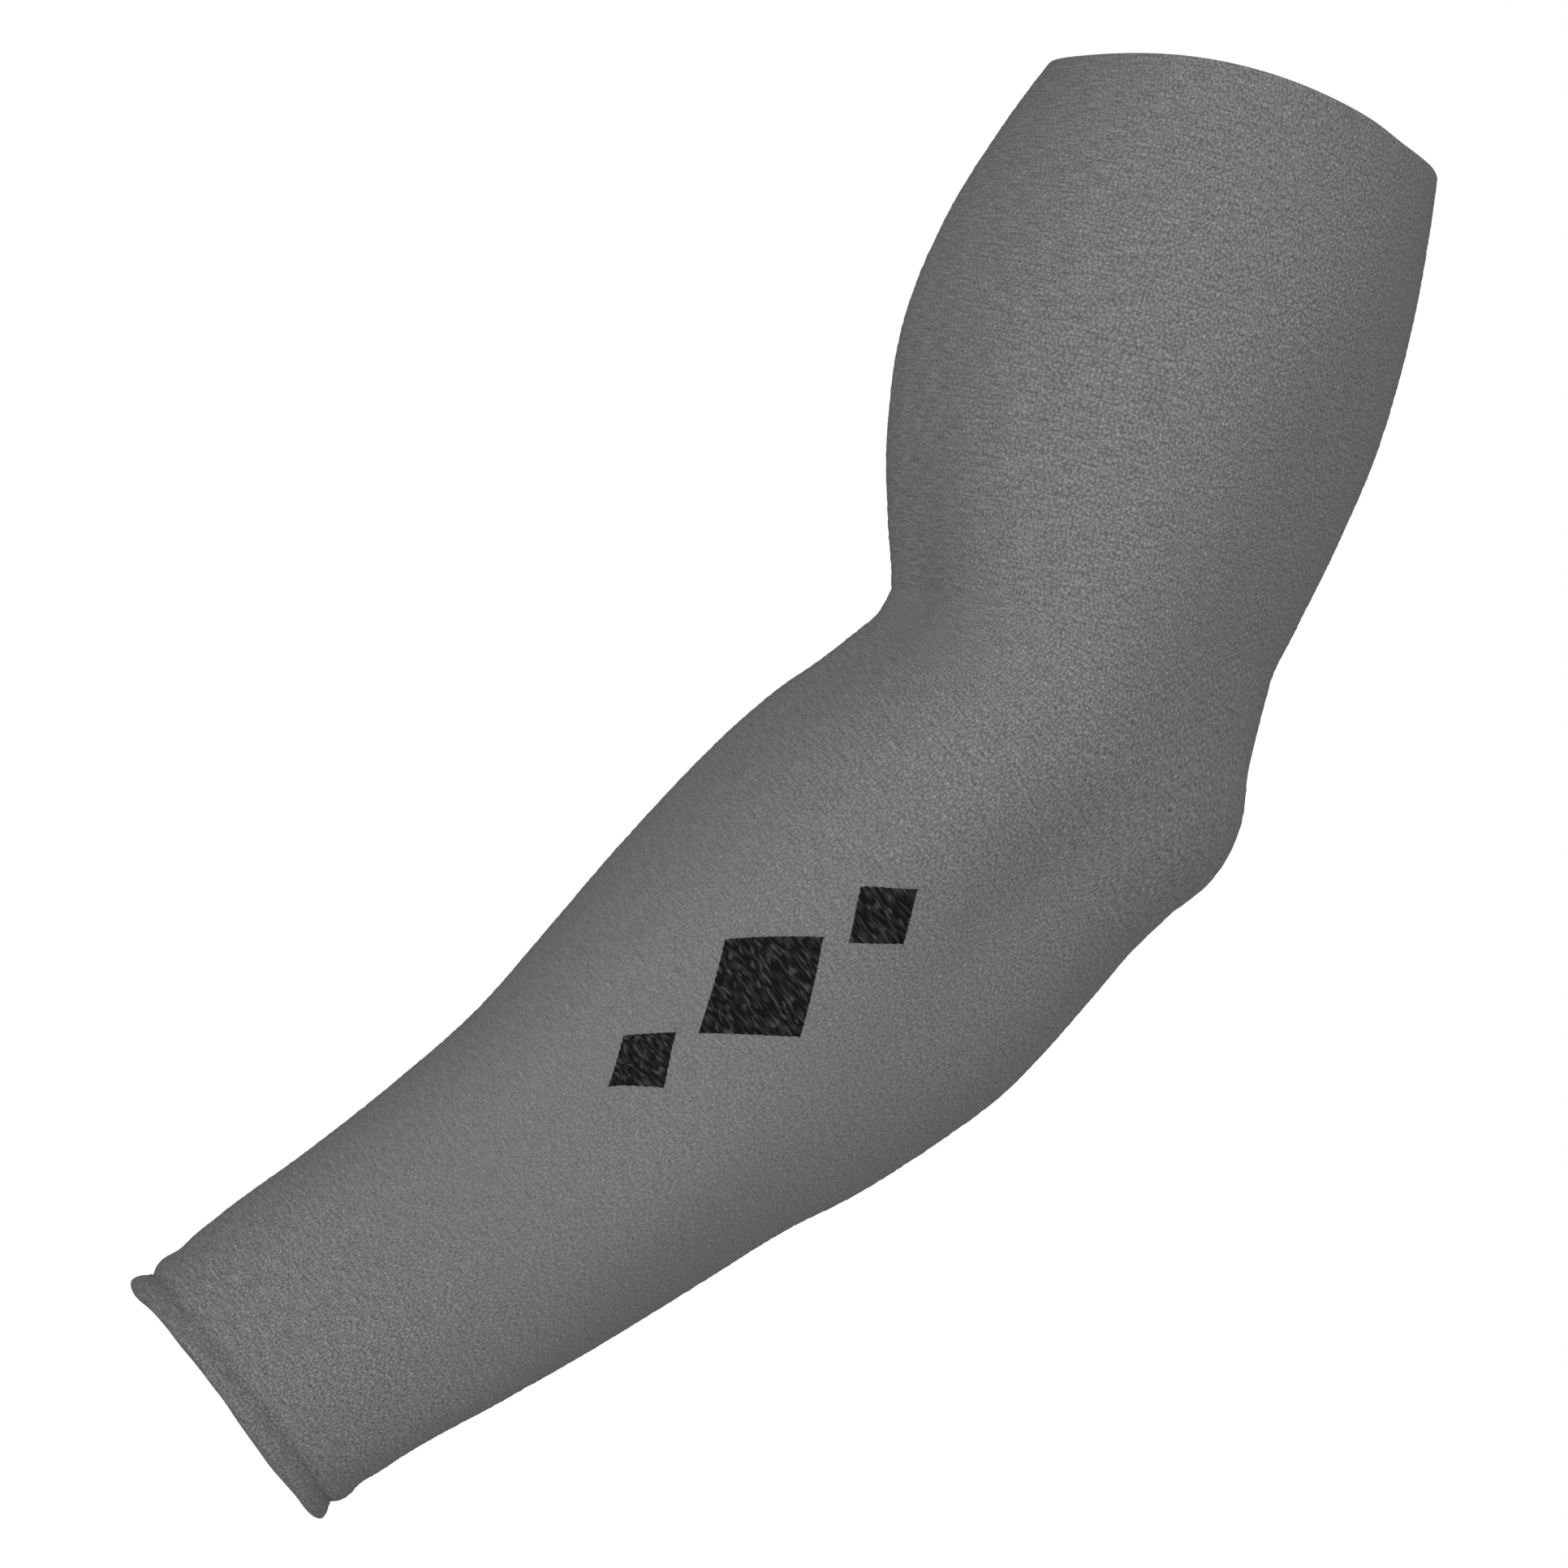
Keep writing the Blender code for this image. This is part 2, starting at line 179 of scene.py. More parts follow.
@dataclass(frozen=True)
class ArmForm:
    """The form that the knit takes on the arm: sections along a bent axis, and the relief on them."""

    upper_arm_length: float = 0.157
    forearm_length: float = 0.256
    elbow_bend: float = math.radians(37.0)
    elbow_radius: float = 0.066

    rim_width: float = 0.092
    rim_depth: float = 0.090
    upper_arm_width: float = 0.116
    upper_arm_depth: float = 0.102
    elbow_width: float = 0.101
    elbow_depth: float = 0.092
    forearm_width: float = 0.107
    forearm_depth: float = 0.091
    wrist_width: float = 0.070
    wrist_depth: float = 0.052

    rim_drop_front: float = 0.007
    rim_drop_back: float = 0.0095
    rim_arch_reach: float = 0.6
    wrist_arch: float = 0.001
    wrist_arch_reach: float = 0.2

    hem_width: float = 0.0055
    hem_thickness: float = 0.0026
    normal_step: float = 0.0005

    swellings: tuple[Swelling, ...] = (
        Swelling(Run.UPPER, 0.24, 130.0, 26.0, 0.10, 0.018),
        Swelling(Run.UPPER, 0.46, 106.0, 33.0, 0.10, 0.030),
        Swelling(Run.UPPER, 0.58, 64.0, 25.0, 0.23, 0.038),
        Swelling(Run.UPPER, 0.61, 144.0, 29.0, 0.22, -0.030),
        Swelling(Run.UPPER, 0.63, 132.0, 25.0, 0.13, -0.011),
        Swelling(Run.UPPER, 0.75, 26.0, 25.0, 0.28, -0.018),
        Swelling(Run.ELBOW, 0.15, 20.0, 15.0, 0.10, -0.012),
        Swelling(Run.ELBOW, 0.70, 240.0, 32.0, 0.12, -0.025),
        Swelling(Run.ELBOW, 0.78, 22.0, 20.0, 0.28, -0.030),
        Swelling(Run.FOREARM, 0.00, 77.0, 32.0, 0.30, 0.066),
        Swelling(Run.FOREARM, 0.03, 74.0, 22.0, 0.20, 0.026),
        Swelling(Run.FOREARM, 0.05, 117.0, 19.0, 0.15, -0.034),
        Swelling(Run.FOREARM, 0.08, 137.0, 31.0, 0.30, -0.058),
        Swelling(Run.FOREARM, 0.475, 89.0, 23.0, 0.16, -0.038),
        Swelling(Run.FOREARM, 0.54, 125.0, 20.0, 0.155, 0.022),
        Swelling(Run.FOREARM, 0.82, 156.0, 17.0, 0.14, 0.019),
        Swelling(Run.FOREARM, 0.85, 83.0, 22.0, 0.13, -0.026),
    )
    folds: tuple[Fold, ...] = (
        Fold(0.2, 0.42, 0.27),
        Fold(1.0, 0.28, -0.25),
        Fold(1.8, 0.50, 0.15),
        Fold(2.6, 0.50, -0.15),
    )

    def sections(self) -> tuple[Section, ...]:
        """The sections of the arm.

        Returns:
            Their rows, from the upper opening to the wrist's.
        """
        upper, elbow, forearm = Run.UPPER, Run.ELBOW, Run.FOREARM
        rim, rim_deep = self.rim_width, self.rim_depth
        arm, arm_deep = self.upper_arm_width, self.upper_arm_depth
        joint, joint_deep = self.elbow_width, self.elbow_depth
        fore, fore_deep = self.forearm_width, self.forearm_depth
        wrist, wrist_deep = self.wrist_width, self.wrist_depth
        return (
            Section(upper, 0.00, rim, 0.490, 0.510, rim_deep, 0.500, 0.500),
            Section(upper, 0.17, arm, 0.468, 0.430, arm_deep, 0.470, 0.470),
            Section(upper, 0.36, arm, 0.536, 0.448, arm_deep, 0.490, 0.490),
            Section(upper, 0.56, arm, 0.565, 0.445, arm_deep, 0.500, 0.500),
            Section(upper, 0.76, arm, 0.536, 0.411, arm_deep, 0.485, 0.485),
            Section(upper, 0.90, arm, 0.490, 0.377, arm_deep, 0.465, 0.460),
            Section(upper, 1.00, joint, 0.520, 0.409, joint_deep, 0.500, 0.490),
            Section(elbow, 0.28, joint, 0.517, 0.430, joint_deep, 0.495, 0.485),
            Section(elbow, 0.48, joint, 0.516, 0.483, joint_deep, 0.490, 0.480),
            Section(elbow, 0.66, joint, 0.514, 0.500, joint_deep, 0.490, 0.480),
            Section(elbow, 0.87, joint, 0.511, 0.482, joint_deep, 0.490, 0.480),
            Section(forearm, 0.06, joint, 0.508, 0.517, joint_deep, 0.495, 0.480),
            Section(forearm, 0.125, fore, 0.485, 0.515, fore_deep, 0.500, 0.485),
            Section(forearm, 0.195, fore, 0.475, 0.534, fore_deep, 0.500, 0.485),
            Section(forearm, 0.28, fore, 0.448, 0.527, fore_deep, 0.495, 0.480),
            Section(forearm, 0.37, fore, 0.412, 0.506, fore_deep, 0.475, 0.460),
            Section(forearm, 0.45, fore, 0.375, 0.471, fore_deep, 0.445, 0.435),
            Section(forearm, 0.56, fore, 0.329, 0.444, fore_deep, 0.395, 0.390),
            Section(forearm, 0.67, wrist, 0.481, 0.635, wrist_deep, 0.620, 0.605),
            Section(forearm, 0.775, wrist, 0.479, 0.581, wrist_deep, 0.560, 0.550),
            Section(forearm, 0.88, wrist, 0.490, 0.524, wrist_deep, 0.520, 0.515),
            Section(forearm, 1.00, wrist, 0.480, 0.503, wrist_deep, 0.500, 0.500),
        )

    def run_length(self, run: Run) -> float:
        """Length of one stretch of the axis.

        Args:
            run: The stretch.

        Returns:
            Its length, in metres.
        """
        tangent = self.elbow_radius * math.tan(self.elbow_bend / 2)
        lengths = {
            Run.UPPER: self.upper_arm_length - tangent,
            Run.ELBOW: self.elbow_radius * self.elbow_bend,
            Run.FOREARM: self.forearm_length - tangent,
        }
        return lengths[run]

    def distance_at(self, run: Run, place: float) -> float:
        """Distance down the axis to a place on a run.

        Args:
            run: The stretch that the place is on.
            place: Share of the run's length, from its upper end.

        Returns:
            The distance from the upper opening, in metres.
        """
        order = list(Run)
        before = sum(self.run_length(earlier) for earlier in order[: order.index(run)])
        return before + place * self.run_length(run)

    @property
    def arm_length(self) -> float:
        """Length of the whole axis, in metres."""
        return sum(self.run_length(run) for run in Run)

    @property
    def lean(self) -> float:
        """Angle between the upper arm and the vertical.

        Returns:
            The angle, in radians.
        """
        across = self.forearm_length * math.sin(self.elbow_bend)
        along = self.upper_arm_length + self.forearm_length * math.cos(self.elbow_bend)
        return math.atan2(across, along)

    def axis_at(self, distance: np.ndarray) -> tuple[np.ndarray, np.ndarray]:
        """Points of the axis, and the way to the arm's front at each.

        Args:
            distance: Distances from the upper opening.

        Returns:
            The points and the unit vectors, each with one row of three numbers a distance.
        """
        straight = self.run_length(Run.UPPER)
        turned = np.clip(distance - straight, 0.0, self.run_length(Run.ELBOW)) / self.elbow_radius
        lean = self.lean - turned
        level = np.zeros_like(lean)
        front = np.stack([-np.cos(lean), level, -np.sin(lean)], axis=-1)
        down = np.stack([np.sin(lean), level, -np.cos(lean)], axis=-1)
        first_front = np.array([-math.cos(self.lean), 0.0, -math.sin(self.lean)])
        first_down = np.array([math.sin(self.lean), 0.0, -math.cos(self.lean)])
        upper = np.minimum(distance, straight)[..., None] * first_down
        bend = (first_front - front) * self.elbow_radius
        past_elbow = np.maximum(distance - self.distance_at(Run.FOREARM, 0.0), 0.0)
        return upper + bend + past_elbow[..., None] * down, front

    def half_sizes(self, distance: np.ndarray) -> np.ndarray:
        """Front, back, near and far half sizes, on a smooth curve through the sections.

        Args:
            distance: Distances from the upper opening.

        Returns:
            Four half sizes a distance, in metres.
        """
        rows = self.sections()
        places = np.array([self.distance_at(row.run, row.place) for row in rows])
        sizes = np.array([
            (row.width * row.front, row.width * row.back, row.depth * row.near, row.depth * row.far)
            for row in rows
        ])
        last = len(rows) - 1
        after = np.minimum(np.arange(last + 1) + 1, last)
        before = np.maximum(np.arange(last + 1) - 1, 0)
        slopes = (sizes[after] - sizes[before]) / (places[after] - places[before])[:, None]
        index = np.searchsorted(places[1:-1], distance, side="left")
        span = (places[index + 1] - places[index])[..., None]
        share = np.clip((distance - places[index])[..., None] / span, 0.0, 1.0)
        return (
            (2 * share**3 - 3 * share**2 + 1) * sizes[index]
            + (share**3 - 2 * share**2 + share) * slopes[index] * span
            + (3 * share**2 - 2 * share**3) * sizes[index + 1]
            + (share**3 - share**2) * slopes[index + 1] * span
        )

    def relief(self, distance: np.ndarray, angle: np.ndarray) -> np.ndarray:
        """How far the swellings, hollows and wrist folds lift the surface.

        Args:
            distance: Distances from the upper opening.
            angle: Angles round the arm, in radians.

        Returns:
            The lift at each point, in metres.
        """
        lift = np.zeros(np.broadcast(distance, angle).shape)
        for row in self.swellings:
            turn = turned_from(row.angle, angle)
            reach = (distance - self.distance_at(row.run, row.place)) / (row.length * self.forearm_length)
            lift += row.height * self.forearm_depth * np.exp(-((turn / row.spread) ** 2) - reach**2)
        for fold in self.folds:
            above = (self.arm_length - distance) / self.hem_width - fold.above
            lift += fold.height * self.hem_thickness * np.exp(-((above / fold.length) ** 2))
        return lift

    def settled(self, distance: np.ndarray, angle: np.ndarray) -> np.ndarray:
        """Distances at which the knit lies once each opening's edge arches round the arm.

        Args:
            distance: Distances from the upper opening.
            angle: Angles round the arm, in radians.

        Returns:
            The distances down the axis.
        """
        rim_reach = self.rim_arch_reach * self.run_length(Run.UPPER)
        wrist_reach = self.wrist_arch_reach * self.run_length(Run.FOREARM)
        from_rim = np.maximum(1 - distance / rim_reach, 0.0)
        from_wrist = np.maximum(1 - (self.arm_length - distance) / wrist_reach, 0.0)
        drop = np.where(np.cos(angle) > 0, self.rim_drop_front, self.rim_drop_back)
        lowered = drop * np.cos(angle) ** 2 * from_rim**2
        raised = self.wrist_arch * np.sin(angle) ** 2 * from_wrist**2
        return distance + lowered - raised

    def skin(self, distance: np.ndarray, angle: np.ndarray, out: np.ndarray | float = 0.0) -> np.ndarray:
        """Points of the sleeve's outer face, or further out or in, square to the axis.

        Args:
            distance: Distances from the upper opening.
            angle: Angles round the arm, in radians.
            out: How far outside the outer face each point lies, in metres.

        Returns:
            One point, as a row of three numbers, a distance and angle.
        """
        place = self.settled(distance, angle)
        centre, front = self.axis_at(place)
        sizes = self.half_sizes(place)
        along_front = np.cos(angle) * np.where(np.cos(angle) > 0, sizes[..., 0], sizes[..., 1])
        along_near = np.sin(angle) * np.where(np.sin(angle) > 0, sizes[..., 2], sizes[..., 3])
        spoke = front * along_front[..., None]
        spoke = spoke + along_near[..., None] * np.array([0.0, -1.0, 0.0])
        unit = spoke / np.linalg.norm(spoke, axis=-1, keepdims=True)
        return centre + spoke + unit * (self.relief(distance, angle) + out)[..., None]

    def lifted(self, distance: np.ndarray, angle: np.ndarray, height: np.ndarray) -> np.ndarray:
        """Points a given height outside the sleeve's outer face, square to that face.

        Args:
            distance: Distances from the upper opening.
            angle: Angles round the arm, in radians.
            height: Heights above the outer face, in metres.

        Returns:
            One point, as a row of three numbers, a distance and angle.
        """
        turn = self.normal_step / self.wrist_depth
        around = self.skin(distance, angle + turn) - self.skin(distance, angle - turn)
        down = self.skin(distance + self.normal_step, angle) - self.skin(distance - self.normal_step, angle)
        normal = np.cross(down, around)
        normal /= np.linalg.norm(normal, axis=-1, keepdims=True)
        return self.skin(distance, angle) + normal * height[..., None]


# Points and pattern coordinates, for shares across and along a grid
Placer = Callable[[np.ndarray, np.ndarray], tuple[np.ndarray, np.ndarray]]


def shaped_grid(name: str, columns: int, rows: int, place: Placer) -> bpy.types.Object:
    """Add a grid, move each of its points to its place on the arm, and weld the edges that meet.

    Args:
        name: The piece's name.
        columns: Faces round the piece.
        rows: Faces along the piece.
        place: Gives the points and the pattern's coordinates for shares across and along the grid.

    Returns:
        The piece, at the origin, unturned and unscaled, with its normals pointing out.
    """
    bpy.ops.object.select_all(action="DESELECT")
    bpy.ops.mesh.primitive_grid_add(x_subdivisions=columns, y_subdivisions=rows, size=1.0, calc_uvs=True)
    piece = bpy.context.object
    piece.name = name
    mesh = piece.data
    mesh.name = name

    flat = np.zeros(len(mesh.vertices) * 3)
    mesh.vertices.foreach_get("co", flat)
    flat = flat.reshape(-1, 3) + 0.5
    points, pattern = place(flat[:, 0], flat[:, 1])
    corners = np.zeros(len(mesh.loops), dtype=np.int64)
    mesh.loops.foreach_get("vertex_index", corners)
    mesh.uv_layers.active.data.foreach_set("uv", pattern[corners].astype(np.float32).ravel())
    mesh.vertices.foreach_set("co", points.astype(np.float32).ravel())
    mesh.update()

    bpy.ops.object.mode_set(mode="EDIT")
    bpy.ops.mesh.select_all(action="SELECT")
    bpy.ops.mesh.remove_doubles(threshold=WELD_DISTANCE)
    bpy.ops.mesh.normals_make_consistent(inside=False)
    bpy.ops.object.mode_set(mode="OBJECT")
    bpy.ops.object.shade_smooth()
    return piece


@dataclass(frozen=True)
class Corner:
    """A corner of a wall's section, rounded, with the spacing of the points on the side that follows it.

    Its distance runs down the arm, its lift is measured from the sleeve's outer face, and its rounding is
    how far along each side the curve starts.
    """

    distance: float
    lift: float
    rounding: float
    spacing: float


def rounded_loop(corners: list[Corner], turn_steps: int = 6) -> np.ndarray:
    """Points once round a closed section with rounded corners.

    Args:
        corners: The section's corners in order.
        turn_steps: Steps round each corner.

    Returns:
        Rows of distance and lift. The last row joins the first.
    """
    places = np.array([(corner.distance, corner.lift) for corner in corners])
    points = []
    for index, corner in enumerate(corners):
        here, before, after = places[index], places[index - 1], places[(index + 1) % len(corners)]
        start = here + (before - here) / np.linalg.norm(before - here) * corner.rounding
        end = here + (after - here) / np.linalg.norm(after - here) * corner.rounding
        for step in range(turn_steps + 1):
            share = step / turn_steps
            points.append((1 - share) ** 2 * start + 2 * share * (1 - share) * here + share**2 * end)
        following = corners[(index + 1) % len(corners)]
        stop = after + (here - after) / np.linalg.norm(after - here) * following.rounding
        steps = max(1, round(float(np.linalg.norm(stop - end)) / corner.spacing))
        points += [end + (stop - end) * step / steps for step in range(1, steps)]
    return np.array(points)


# Distances and lifts at which points come to lie, for their distances, lifts and angles
Settler = Callable[[np.ndarray, np.ndarray, np.ndarray], tuple[np.ndarray, np.ndarray]]


def walled_ring(name: str, form: ArmForm, columns: int, profile: np.ndarray,
                settle: Settler) -> bpy.types.Object:
    """Carry a closed section once round the arm, from the far side and back to it.

    Args:
        name: The piece's name.
        form: The form that the piece follows.
        columns: Faces round the arm.
        profile: Rows of distance and lift, once round the section.
        settle: Gives the distances and lifts at which points come to lie, for their distances, lifts and
            angles.

    Returns:
        The piece, a closed shell with its pattern coordinates in shares round and down the arm.
    """
    rows = len(profile)
    closed = np.vstack([profile, profile[:1]])

    def place(across: np.ndarray, along: np.ndarray) -> tuple[np.ndarray, np.ndarray]:
        """Lay the grid's points round the ring.

        Args:
            across: Shares of a turn, from the far side.
            along: Shares of the way once round the section.

        Returns:
            The points and their pattern coordinates.
        """
        row = np.rint(along * rows).astype(int)
        angle = (across - FAR_TO_FRONT) * math.tau
        distance, lift = settle(closed[row, 0], closed[row, 1], angle)
        points = form.skin(distance, angle, lift)
        return points, np.stack([across, distance / form.arm_length], axis=-1)

    return shaped_grid(name, columns, rows, place)


class Shader:
    """A node tree that is filled from named steps."""

    def __init__(self, name: str) -> None:
        """Make an empty material with its output and its cloth shader.

        Args:
            name: The material's name.
        """
        self.material = bpy.data.materials.new(name)
        self.material.use_nodes = True
        self.nodes = self.material.node_tree.nodes
        self.links = self.material.node_tree.links
        self.cloth = self.nodes["Principled BSDF"]

    def node(self, kind: str, **settings: object) -> bpy.types.Node:
        """Add a node and set its options.

        Args:
            kind: The node's type name.
            settings: Its options, by name.

        Returns:
            The node.
        """
        made = self.nodes.new(kind)
        for name, value in settings.items():
            setattr(made, name, value)
        return made

    def feed(self, socket: bpy.types.NodeSocket, value: bpy.types.NodeSocket | float) -> None:
        """Link a socket into an input, or set the input to a number.

        Args:
            socket: The input.
            value: The socket or the number.
        """
        if isinstance(value, bpy.types.NodeSocket):
            self.links.new(value, socket)
        else:
            socket.default_value = value

    def pattern(self, across: float, along: float) -> bpy.types.NodeSocket:
        """The piece's pattern coordinates, with so many units across and along.

        Args:
            across: Units once round the arm.
            along: Units down the whole arm.

        Returns:
            The scaled coordinates.
        """
        source = self.node("ShaderNodeUVMap", uv_map="UVMap")
        mapping = self.node("ShaderNodeMapping")
        mapping.inputs["Scale"].default_value = (across, along, 1.0)
        self.links.new(source.outputs["UV"], mapping.inputs["Vector"])
        return mapping.outputs["Vector"]

    def maths(self, operation: str, first: bpy.types.NodeSocket | float,
              second: bpy.types.NodeSocket | float = 0.0) -> bpy.types.NodeSocket:
        """Join two values by one operation.

        Args:
            operation: The operation's name.
            first: A socket or a number.
            second: A socket or a number.

        Returns:
            The result's socket.
        """
        made = self.node("ShaderNodeMath", operation=operation)
        self.feed(made.inputs[0], first)
        self.feed(made.inputs[1], second)
        return made.outputs["Value"]

    def total(self, *terms: tuple[bpy.types.NodeSocket, float]) -> bpy.types.NodeSocket:
        """Add up values.

        Args:
            terms: Each value with its weight.

        Returns:
            The sum's socket.
        """
        (first, weight), *others = terms
        result = self.maths("MULTIPLY", first, weight)
        for value, share in others:
            result = self.maths("ADD", result, self.maths("MULTIPLY", value, share))
        return result

    def streaks(self, across: float, along: float) -> bpy.types.NodeSocket:
        """Soft patches round zero, which follow the knit.

        Args:
            across: Patches once round the arm.
            along: Patches down the whole arm.

        Returns:
            The patches' socket, from about -0.5 to 0.5.
        """
        made = self.node("ShaderNodeTexNoise", noise_dimensions="2D")
        self.feed(made.inputs["Vector"], self.pattern(across, along))
        made.inputs["Scale"].default_value = 1.0
        made.inputs["Detail"].default_value = 0.0
        return self.maths("SUBTRACT", made.outputs["Fac"], 0.5)

    def grain(self, size: float) -> bpy.types.NodeSocket:
        """Soft blobs round zero, alike in every direction.

        Args:
            size: Their spacing, in metres.

        Returns:
            The blobs' socket, from about -0.5 to 0.5.
        """
        place = self.node("ShaderNodeTexCoord")
        made = self.node("ShaderNodeTexNoise", noise_dimensions="3D")
        self.links.new(place.outputs["Object"], made.inputs["Vector"])
        made.inputs["Scale"].default_value = 1 / size
        made.inputs["Detail"].default_value = 0.0
        return self.maths("SUBTRACT", made.outputs["Fac"], 0.5)

    def stitches(self, across: float, along: float, unevenness: float, middle: float,
                 edge: float) -> tuple[bpy.types.NodeSocket, bpy.types.NodeSocket]:
        """Spots in uneven rows that follow the knit, one to a stitch.

        Args:
            across: Stitches once round the arm.
            along: Stitches down the whole arm.
            unevenness: How far they stray from their rows, from 0 to 1.
            middle: How far from its middle a spot is neither light nor dark, as a share of the spacing.
            edge: How far from its middle it stops getting darker, as a share of the spacing.

        Returns:
            The spots' socket, round zero and lightest in their middles, and a number from 0 to 1 that each
            stitch has for its own.
        """
        made = self.node("ShaderNodeTexVoronoi", voronoi_dimensions="2D", feature="F1")
        self.feed(made.inputs["Vector"], self.pattern(across, along))
        made.inputs["Scale"].default_value = 1.0
        made.inputs["Randomness"].default_value = unevenness
        parts = self.node("ShaderNodeSeparateColor")
        self.feed(parts.inputs["Color"], made.outputs["Color"])
        reach = self.maths("MINIMUM", made.outputs["Distance"], edge)
        return self.maths("SUBTRACT", middle, reach), parts.outputs["Green"]

    def place_on_arm(self) -> tuple[bpy.types.NodeSocket, bpy.types.NodeSocket]:
        """Where a point lies on the arm.

        Returns:
            How near the front it lies, from 1 at the front to -1 at the back, and how far down the arm, from
            0 to 1.
        """
        parts = self.node("ShaderNodeSeparateXYZ")
        self.feed(parts.inputs["Vector"], self.pattern(math.tau, 1.0))
        return self.maths("SINE", parts.outputs["X"]), parts.outputs["Y"]

    def grey(self, tone: bpy.types.NodeSocket) -> None:
        """Colour the cloth grey.

        Args:
            tone: The tone's socket, from 0 for black to 1 for white.
        """
        colour = self.node("ShaderNodeCombineColor")
        for channel in ("Red", "Green", "Blue"):
            self.feed(colour.inputs[channel], tone)
        self.feed(self.cloth.inputs["Base Color"], colour.outputs["Color"])

    def raise_stitches(self, relief: bpy.types.NodeSocket, height: float) -> None:
        """Let the light catch a fine relief.

        Args:
            relief: The relief's socket.
            height: Its height for a value of one, in metres.
        """
        bump = self.node("ShaderNodeBump")
        bump.inputs["Strength"].default_value = 1.0
        bump.inputs["Distance"].default_value = height
        self.feed(bump.inputs["Height"], relief)
        self.feed(self.cloth.inputs["Normal"], bump.outputs["Normal"])

    def span(self, value: bpy.types.NodeSocket, low: float, high: float,
             start: float, end: float) -> bpy.types.NodeSocket:
        """Carry a value smoothly from one range to another.

        Args:
            value: The value.
            low: Where the range starts.
            high: Where the range ends.
            start: The result at its start.
            end: The result at its end.

        Returns:
            The result's socket.
        """
        made = self.node("ShaderNodeMapRange", interpolation_type="SMOOTHSTEP")
        self.feed(made.inputs["Value"], value)
        for name, number in (("From Min", low), ("From Max", high), ("To Min", start), ("To Max", end)):
            made.inputs[name].default_value = number
        return made.outputs["Result"]


@dataclass(frozen=True)
class KnitFinish:
    """Fine jersey: uneven stitches, their legs and courses, a grain, sparse flecks and painted seam shade.

    Each tone is a share of the cloth's own. The courses show more towards the front and the legs towards the
    back. The contrast is lower down the forearm, where the knit is less stretched, than on the upper arm and
    at the wrist.
    """

    name: str
    tone: float = 0.154
    stitches_round: float = 400.0
    stitches_down: float = 500.0
    unevenness: float = 0.80
    stitch_middle: float = 0.385
    stitch_edge: float = 0.52
    stitch_tone: float = 1.20
    stitch_relief: float = 0.6
    grain_size: float = 0.00048
    grain_tone: float = 0.50
    grain_relief: float = 0.5
    legs_round: float = 780.0
    legs_down: float = 440.0
    leg_tone: float = 0.70
    leg_relief: float = 0.6
    courses: float = 620.0
    course_length: float = 11.0
    course_tone: float = 0.35
    course_relief: float = 0.5
    lean_to_front: float = 0.6
    fleck_tone: float = 0.22
    fleck_from: float = 0.955
    fleck_to: float = 0.985
    tone_power: float = 3.0
    calm_from: float = 0.36
    calm_to: float = 0.66
    calm: float = 0.62
    wrist_from: float = 0.80
    wrist_to: float = 0.94
    wrist_gain: float = 0.52
    # Painted shade: the cloth is darkened near the seam, standing in for the shadow in its groove
    seam_at: float = 0.9866
    seam_reach: float = 0.0042
    seam_painted_shade: float = 0.11
    relief_height: float = 0.00006
    roughness: float = 0.92
    specular: float = 0.15
    sheen: float = 0.08
    sheen_roughness: float = 0.6

    def material(self) -> bpy.types.Material:
        """Make the knit's material.

        Returns:
            The material.
        """
        shader = Shader(self.name)
        front, down = shader.place_on_arm()
        spots, chance = shader.stitches(
            self.stitches_round, self.stitches_down, self.unevenness, self.stitch_middle, self.stitch_edge
        )
        blobs = shader.grain(self.grain_size)
        legs = shader.streaks(self.legs_round, self.legs_down)
        courses = shader.streaks(self.courses / self.course_length, self.courses)
        flecks = shader.span(chance, self.fleck_from, self.fleck_to, 0.0, self.fleck_tone)

        forwards = shader.maths("MULTIPLY", front, self.lean_to_front)
        legs = shader.maths("MULTIPLY", legs, shader.maths("SUBTRACT", 1.0, forwards))
        courses = shader.maths("MULTIPLY", courses, shader.maths("ADD", 1.0, forwards))
        contrast = shader.total(
            (shader.span(down, self.calm_from, self.calm_to, 1.0, self.calm), 1.0),
            (shader.span(down, self.wrist_from, self.wrist_to, 0.0, self.wrist_gain), 1.0),
        )
        uneven = shader.total(
            (spots, self.stitch_tone),
            (blobs, self.grain_tone),
            (legs, self.leg_tone),
            (courses, self.course_tone),
            (flecks, 1.0),
        )
        root = shader.maths("MULTIPLY", uneven, shader.maths("MULTIPLY", contrast, 1 / self.tone_power))
        lit = shader.maths("POWER", shader.maths("ADD", root, 1.0), self.tone_power)
        # Painted shade: darker towards the seam's groove, standing in for the shadow that falls there
        off_seam = shader.maths("ABSOLUTE", shader.maths("SUBTRACT", down, self.seam_at))
        shade = shader.span(off_seam, 0.0, self.seam_reach, 1.0 - self.seam_painted_shade, 1.0)
        shader.grey(shader.maths("MULTIPLY", shader.maths("MULTIPLY", lit, shade), self.tone))
        relief = shader.total(
            (spots, self.stitch_relief),
            (blobs, self.grain_relief),
            (legs, self.leg_relief),
            (courses, self.course_relief),
        )
        shader.raise_stitches(relief, self.relief_height)

        shader.cloth.inputs["Roughness"].default_value = self.roughness
        shader.cloth.inputs["Specular IOR Level"].default_value = self.specular
        shader.cloth.inputs["Sheen Weight"].default_value = self.sheen
        shader.cloth.inputs["Sheen Roughness"].default_value = self.sheen_roughness
        return shader.material


